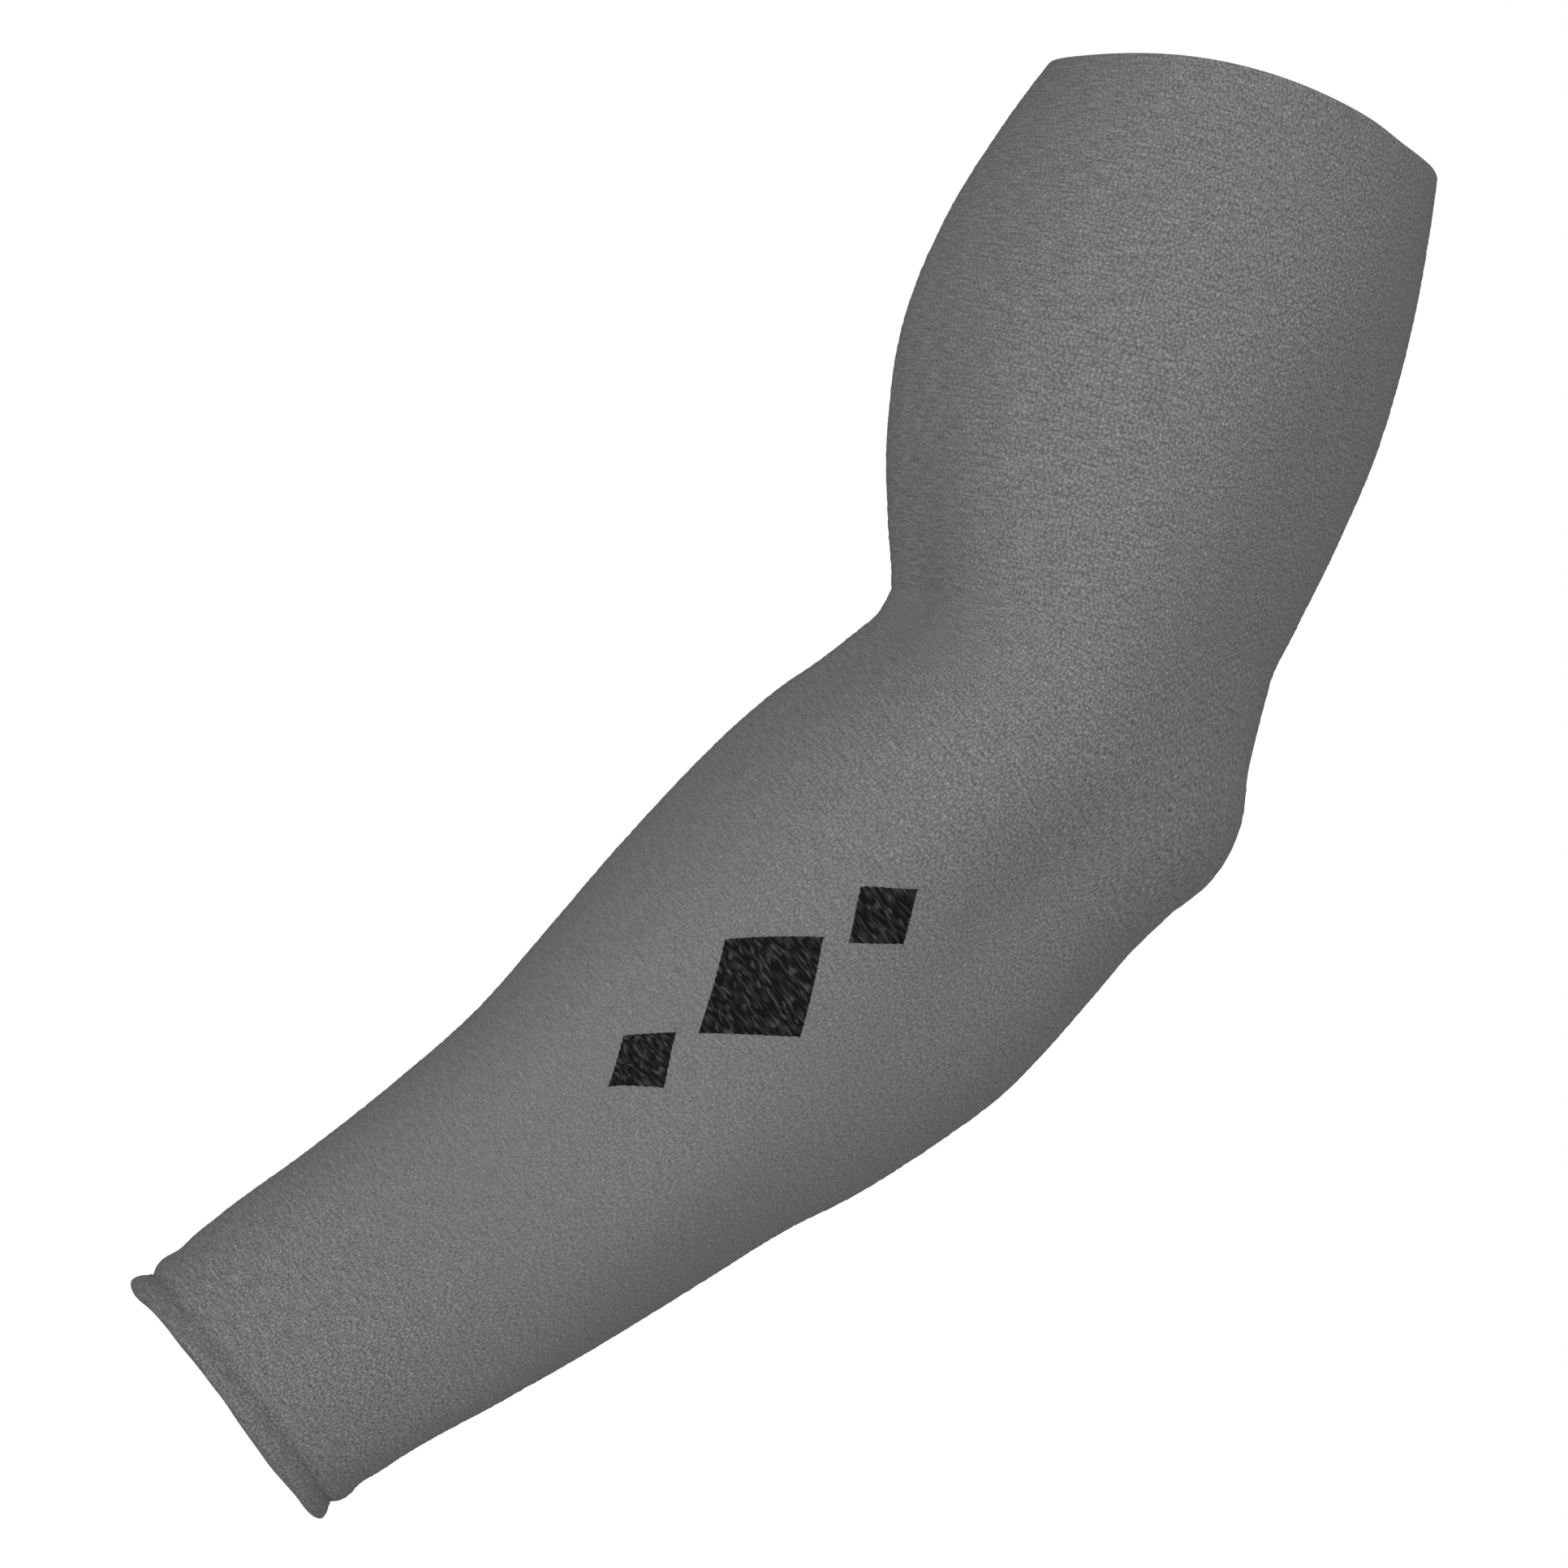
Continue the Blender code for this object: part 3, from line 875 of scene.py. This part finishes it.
@dataclass(frozen=True)
class MotifFinish:
    """Matte black yarn in fine stripes along the courses, with the grey ground showing in a few of them."""

    name: str
    black: float = 0.0095
    stripe_tone: float = 0.050
    streak_tone: float = 0.035
    stripes_round: float = 105.0
    stripes_down: float = 560.0
    streaks_round: float = 136.5
    streaks_down: float = 504.0
    streaks_from: float = 0.08
    streaks_to: float = 0.32
    relief_height: float = 0.00010
    roughness: float = 0.9
    specular: float = 0.1

    def material(self) -> bpy.types.Material:
        """Make the motif's material.

        Returns:
            The material.
        """
        shader = Shader(self.name)
        stripes = shader.streaks(self.stripes_round, self.stripes_down)
        streaks = shader.streaks(self.streaks_round, self.streaks_down)
        shown = shader.span(streaks, self.streaks_from, self.streaks_to, 0.0, self.streak_tone)
        uneven = shader.maths("MAXIMUM", shader.maths("MULTIPLY", stripes, self.stripe_tone), -self.black / 2)
        shader.grey(shader.maths("ADD", shader.maths("ADD", uneven, shown), self.black))
        shader.raise_stitches(stripes, self.relief_height)
        shader.cloth.inputs["Roughness"].default_value = self.roughness
        shader.cloth.inputs["Specular IOR Level"].default_value = self.specular
        return shader.material


@dataclass(frozen=True)
class HemSeam:
    """The seam over the hem, in a soft groove, with a tongue of the tube's wall in a slot of the band.

    The tongue hides the gap between the two pieces. Lifts are measured from the sleeve's outer face. Up to
    its fine reach above the seam, the tube's points lie closer together.
    """

    middle: float = -0.00048
    tongue: float = 0.00016
    slot: float = 0.00024
    depth: float = 0.0011
    clearance: float = 0.0002
    lip: float = 0.00005
    groove_above: float = 0.0013
    groove_below: float = 0.0015
    fine_reach: float = 0.0052

    def groove(self, profile: np.ndarray, seam: float, base: float, face: float, sunk: float,
               reach: float) -> np.ndarray:
        """Sink the outer face of a wall's section towards the seam.

        Args:
            profile: Rows of distance and lift.
            seam: The seam's distance down the arm.
            base: The lift that stays where it is.
            face: The lift of the outer face.
            sunk: The lift that the outer face has at the seam.
            reach: How far from the seam the groove reaches, in metres.

        Returns:
            The rows with the groove in them.
        """
        near = np.exp(-(((profile[:, 0] - seam) / reach) ** 2))
        share = np.clip((profile[:, 1] - base) / (face - base), 0.0, 1.0)
        return np.stack([profile[:, 0], profile[:, 1] - share * near * (face - sunk)], axis=-1)


@dataclass
class SleeveTube:
    """The seamless tube of knit, one wall with an outer face, a rounded rim and an inner face."""

    form: ArmForm
    seam: HemSeam
    finish: KnitFinish
    flat_round: float = 0.25
    flat_length: float = 0.40
    wall: float = 0.0012
    rim_rounding: float = 0.45
    columns: int = 130
    outer_spacing: float = 0.0007
    inner_spacing: float = 0.0055
    fine_spacing: float = 0.0003
    shoulder: float = 0.0009
    roughness: float = 0.00005
    roughness_seed: int = 5
    calm_edge: float = 0.002
    rim_reach: float = 0.02
    rim_waves: tuple[EdgeWave, ...] = (
        EdgeWave(5.0, 22.0, -0.0010),
        EdgeWave(108.0, 30.0, 0.0006),
        EdgeWave(139.0, 9.0, 0.0006),
        EdgeWave(163.0, 9.0, -0.0007),
        EdgeWave(180.0, 12.0, -0.0007),
    )

    def settle(self, distance: np.ndarray, lift: np.ndarray,
               angle: np.ndarray) -> tuple[np.ndarray, np.ndarray]:
        """Let the rim's waves run out down the tube, and roughen its outer face towards front and back.

        Args:
            distance: Distances from the upper opening.
            lift: Lifts above the outer face.
            angle: Angles round the arm, in radians.

        Returns:
            The distances and lifts at which the points lie.
        """
        share = np.maximum(1 - distance / self.rim_reach, 0.0) ** 2
        seam = self.form.arm_length - self.form.hem_width
        inside = np.clip(np.minimum(distance, seam - distance) / self.calm_edge - 1, 0.0, 1.0)
        outer = np.where(lift > -self.wall / 2, inside * np.cos(angle) ** 2, 0.0)
        draws = np.random.default_rng(self.roughness_seed)
        rough = draws.standard_normal(distance.shape) * self.roughness
        return distance + edge_drop(self.rim_waves, angle) * share, lift + rough * outer

    def profile(self) -> np.ndarray:
        """The wall's section, from the rim down the inner face, round the tongue and up the outer face.

        Returns:
            Rows of distance and lift.
        """
        seam = self.form.arm_length - self.form.hem_width
        tip = seam + self.seam.depth - self.seam.clearance
        outer, inner = self.seam.middle + self.seam.tongue, self.seam.middle - self.seam.tongue
        edge = self.wall * self.rim_rounding
        fine = self.seam.tongue / 2
        section = rounded_loop([
            Corner(0.0, 0.0, edge, self.fine_spacing),
            Corner(0.0, -self.wall, edge, self.inner_spacing),
            Corner(seam - self.shoulder, -self.wall, self.shoulder / 2, self.fine_spacing),
            Corner(seam, inner, self.shoulder / 4, self.fine_spacing),
            Corner(tip, inner, fine, self.fine_spacing),
            Corner(tip, outer, fine, self.fine_spacing),
            Corner(seam, outer, fine, self.fine_spacing / 2),
            Corner(seam - self.seam.tongue, 0.0, fine, self.fine_spacing),
            Corner(seam - self.seam.fine_reach, 0.0, fine, self.outer_spacing),
        ])
        return self.seam.groove(section, seam, outer, 0.0, outer, self.seam.groove_above)

    def build(self) -> bpy.types.Object:
        """Make and dress the tube.

        Returns:
            The tube.
        """
        tube = walled_ring("knitted_tube", self.form, self.columns, self.profile(), self.settle)
        tube.data.materials.append(self.finish.material())
        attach(tube, BODY)
        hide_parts("sleeve_tube")
        return tube


@dataclass
class WristHem:
    """The hem turned at the wrist: a soft band, round at its lower fold, with the tube's end in its top."""

    form: ArmForm
    seam: HemSeam
    finish: KnitFinish
    proud: float = 0.0006
    columns: int = 200
    spacing: float = 0.0004
    round_over: float = 0.0003
    fold_rounding: float = 0.36
    nose_rounding: float = 0.62
    edge_waves: tuple[EdgeWave, ...] = (
        EdgeWave(20.0, 14.0, 0.0008),
        EdgeWave(62.0, 8.0, 0.0002),
        EdgeWave(92.0, 7.0, -0.0002),
        EdgeWave(112.0, 32.0, 0.0009),
        EdgeWave(124.0, 8.0, 0.0002),
        EdgeWave(145.0, 7.0, -0.0002),
        EdgeWave(182.0, 16.0, -0.0012),
        EdgeWave(300.0, 40.0, -0.0005),
    )

    def settle(self, distance: np.ndarray, lift: np.ndarray,
               angle: np.ndarray) -> tuple[np.ndarray, np.ndarray]:
        """Let the lower edge's waves run out up the band, to nothing at the seam."""
        share = (distance - self.form.arm_length) / self.form.hem_width + 1
        return distance + edge_drop(self.edge_waves, angle) * np.clip(share, 0.0, 1.0), lift

    def profile(self) -> np.ndarray:
        """The band's section, from its lower fold up the outer face, round the slot and down again inside.

        Returns:
            Rows of distance and lift.
        """
        top = self.form.arm_length - self.form.hem_width
        low = self.form.arm_length
        outer = self.proud
        inner = self.proud - self.form.hem_thickness
        slot_out, slot_in = self.seam.middle + self.seam.slot, self.seam.middle - self.seam.slot
        floor = top + self.seam.depth
        fold = self.form.hem_thickness * self.fold_rounding
        nose = self.form.hem_thickness * self.nose_rounding
        fine = self.seam.slot / 3
        section = rounded_loop([
            Corner(low, outer, nose, self.spacing),
            Corner(top, outer, fine, fine),
            Corner(top, slot_out, fine, self.spacing),
            Corner(floor, slot_out, fine, fine),
            Corner(floor, slot_in, fine, self.spacing),
            Corner(top, slot_in, fine, self.spacing),
            Corner(top + self.round_over, inner, self.round_over / 2, self.spacing),
            Corner(low, inner, fold, self.spacing),
        ])
        return self.seam.groove(section, top, slot_out, outer, self.seam.lip, self.seam.groove_below)

    def build(self) -> bpy.types.Object:
        """Make and dress the hem.

        Returns:
            The hem.
        """
        hem = walled_ring("turned_hem", self.form, self.columns, self.profile(), self.settle)
        hem.data.materials.append(self.finish.material())
        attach(hem, BODY)
        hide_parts("wrist_hem")
        return hem


@dataclass(frozen=True)
class Lozenge:
    """One lozenge of the motif, its middle a distance down the arm from the motif's own middle."""

    name: str
    node: str
    below_middle: float
    turn: float
    length: float
    width: float


@dataclass
class ForearmMotif:
    """Three black lozenges in a row along the near side of the forearm, a large one between two small."""

    form: ArmForm
    finish: MotifFinish
    small_length: float = 0.020
    small_width: float = 0.014
    large_length: float = 0.036
    large_width: float = 0.025
    gap: float = 0.004
    tip: float = 0.0004
    ragged: float = 0.00025
    ragged_length: float = 0.00045
    middle: float = 0.326
    angle: float = 91.5
    turn: float = 4.5
    clearance: float = 0.00005
    thickness: float = 0.00012
    steps: int = 40

    def lozenges(self) -> tuple[Lozenge, ...]:
        """The places and sizes of the three lozenges.

        Returns:
            Their rows, from the elbow's end to the wrist's.
        """
        step = self.large_length / 2 + self.gap + self.small_length / 2
        small = (self.small_length, self.small_width)
        return (
            Lozenge("lozenge_upper", "motif_upper", -step, self.turn, *small),
            Lozenge("lozenge_middle", "motif_middle", 0.0, 0.0, self.large_length, self.large_width),
            Lozenge("lozenge_lower", "motif_lower", step, -self.turn, *small),
        )

    def make(self, row: Lozenge) -> bpy.types.Object:
        """Make one lozenge, a thin plate just clear of the knit.

        Args:
            row: The lozenge's place and sizes.

        Returns:
            The lozenge.
        """
        centre = self.form.distance_at(Run.FOREARM, self.middle) + row.below_middle
        angle = math.radians(self.angle + row.turn)
        spot = self.form.skin(np.array([centre]), np.array([angle]))
        radius = float(np.linalg.norm(spot[0] - self.form.axis_at(np.array([centre]))[0][0]))

        def place(across: np.ndarray, along: np.ndarray) -> tuple[np.ndarray, np.ndarray]:
            """Lay the grid's points on the lozenge.

            Args:
                across: Shares of the lozenge's width.
                along: Shares of its length, from the elbow's end.

            Returns:
                The points and their pattern coordinates.
            """
            reach = 2 * along - 1
            ragged = self.ragged * np.sin(reach * row.length / self.ragged_length) * (1 - reach**2)
            half = np.maximum((1 - np.abs(reach)) * row.width + ragged, self.tip) / 2
            distance = centre + reach * row.length / 2
            turned = angle + (2 * across - 1) * half / radius
            height = np.full_like(distance, self.clearance + self.thickness)
            points = self.form.lifted(distance, turned, height)
            round_arm = turned / math.tau + FAR_TO_FRONT
            return points, np.stack([round_arm, distance / self.form.arm_length], axis=-1)

        lozenge = shaped_grid(row.name, self.steps, 2 * self.steps, place)
        plate = lozenge.modifiers.new("Plate", "SOLIDIFY")
        plate.thickness = self.thickness
        plate.offset = -1.0
        bpy.context.view_layer.objects.active = lozenge
        bpy.ops.object.modifier_apply(modifier=plate.name)
        return lozenge

    def build(self) -> list[bpy.types.Object]:
        """Make and dress the three lozenges.

        Returns:
            The lozenges, from the elbow's end to the wrist's.
        """
        material = self.finish.material()
        made = []
        for row in self.lozenges():
            lozenge = self.make(row)
            lozenge.data.materials.append(material)
            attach(lozenge, BODY)
            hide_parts(row.node)
            made.append(lozenge)
        return made


@dataclass(frozen=True)
class SoftLight:
    """A square area light, aimed at the sleeve from a place given in the picture's own directions."""

    name: str
    right: float
    up: float
    towards: float
    size: float
    power: float


@dataclass
class Studio:
    """White surroundings, a pale floor, soft lights and the camera.

    Lengths are in metres, apart from the sensor's width in millimetres. The picture's side is what the
    camera takes in at the picture's distance.
    """

    aim: tuple[float, float, float] = (0.0147, 0.0, -0.1974)
    elevation: float = math.radians(-3.7)
    roll: float = math.radians(38.17)
    distance: float = 3.015
    picture_side: float = 0.367
    picture_distance: float = 3.0
    sensor_width: float = 36.0
    clip_end: float = 50.0
    floor_drop: float = 0.2
    floor_side: float = 3.0
    floor_tone: float = 0.85
    floor_roughness: float = 0.9
    surround: float = 0.19
    lights: tuple[SoftLight, ...] = (
        SoftLight("front_light", 0.0, 0.0, 3.5, 1.2, 84.0),
        SoftLight("top_light", 0.0, 1.8, 1.8, 1.2, 16.5),
        SoftLight("rim_light", 2.0, 0.6, -1.3, 1.2, 11.5),
    )

    def axes(self) -> tuple[Vector, Vector, Vector]:
        """The picture's own directions.

        Returns:
            Its right, its up and the way the camera looks, as unit vectors.
        """
        view = Vector((0.0, math.cos(self.elevation), -math.sin(self.elevation)))
        level_up = Vector((0.0, math.sin(self.elevation), math.cos(self.elevation)))
        level_right = Vector((1.0, 0.0, 0.0))
        right = math.cos(self.roll) * level_right + math.sin(self.roll) * level_up
        up = math.cos(self.roll) * level_up - math.sin(self.roll) * level_right
        return right, up, view

    def add_camera(self) -> None:
        """Place the camera, turned as the photograph is."""
        right, up, view = self.axes()
        data = bpy.data.cameras.new("camera")
        data.sensor_width = self.sensor_width
        data.lens = data.sensor_width * self.picture_distance / self.picture_side
        data.clip_end = self.clip_end
        camera = bpy.data.objects.new("camera", data)
        camera.matrix_world = Matrix.Translation(Vector(self.aim) - view * self.distance) @ Matrix(
            (right, up, -view)
        ).transposed().to_4x4()
        bpy.context.scene.collection.objects.link(camera)
        bpy.context.scene.camera = camera

    def add_lights(self) -> None:
        """Place the soft lights, each facing the sleeve."""
        right, up, view = self.axes()
        for row in self.lights:
            place = Vector(self.aim) + right * row.right + up * row.up - view * row.towards
            data = bpy.data.lights.new(row.name, "AREA")
            data.size = row.size
            data.energy = row.power
            light = bpy.data.objects.new(row.name, data)
            light.location = place
            light.rotation_euler = (Vector(self.aim) - place).to_track_quat("-Z", "Y").to_euler()
            bpy.context.scene.collection.objects.link(light)

    def add_surroundings(self) -> None:
        """Make the surroundings white to the eye and softer as a light."""
        world = bpy.data.worlds.new("white_studio")
        bpy.context.scene.world = world
        world.use_nodes = True
        nodes, links = world.node_tree.nodes, world.node_tree.links
        backdrop = nodes["Background"]
        backdrop.inputs["Color"].default_value = (1.0, 1.0, 1.0, 1.0)
        path = nodes.new("ShaderNodeLightPath")
        strength = nodes.new("ShaderNodeMapRange")
        strength.inputs["To Min"].default_value = self.surround
        strength.inputs["To Max"].default_value = 1.0
        links.new(path.outputs["Is Camera Ray"], strength.inputs["Value"])
        links.new(strength.outputs["Result"], backdrop.inputs["Strength"])

    def add_floor(self) -> None:
        """Lay the pale floor below the wrist."""
        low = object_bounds()[0]
        bpy.ops.object.select_all(action="DESELECT")
        bpy.ops.mesh.primitive_plane_add(size=self.floor_side, location=(0.0, 0.0, low[2] - self.floor_drop))
        floor = bpy.context.object
        floor.name = "floor"
        material = bpy.data.materials.new("pale_floor")
        material.use_nodes = True
        paint = material.node_tree.nodes["Principled BSDF"]
        paint.inputs["Base Color"].default_value = (self.floor_tone, self.floor_tone, self.floor_tone, 1.0)
        paint.inputs["Roughness"].default_value = self.floor_roughness
        floor.data.materials.append(material)
        floor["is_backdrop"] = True

    def build(self) -> None:
        """Set up the whole studio."""
        self.add_camera()
        self.add_lights()
        self.add_surroundings()
        self.add_floor()
        bpy.context.scene.view_settings.view_transform = "Standard"


def report(piece: bpy.types.Object) -> None:
    """Log a piece's name and how many faces it has."""
    LOG.info("%s: %d faces", piece.name, len(piece.data.polygons))


def main() -> None:
    logging.basicConfig(level=logging.INFO, format="%(name)s: %(message)s")
    form = ArmForm()
    seam = HemSeam()
    sleeve = SleeveTube(form, seam, KnitFinish("grey_knit_cloth"))
    tube = sleeve.build()
    report(tube)
    hem = WristHem(form, seam, KnitFinish("grey_hem_cloth", tone=0.145)).build()
    report(hem)
    lozenges = ForearmMotif(form, MotifFinish("black_motif_cloth")).build()
    for lozenge in lozenges:
        report(lozenge)
    Studio().build()


if __name__ == "__main__":
    main()
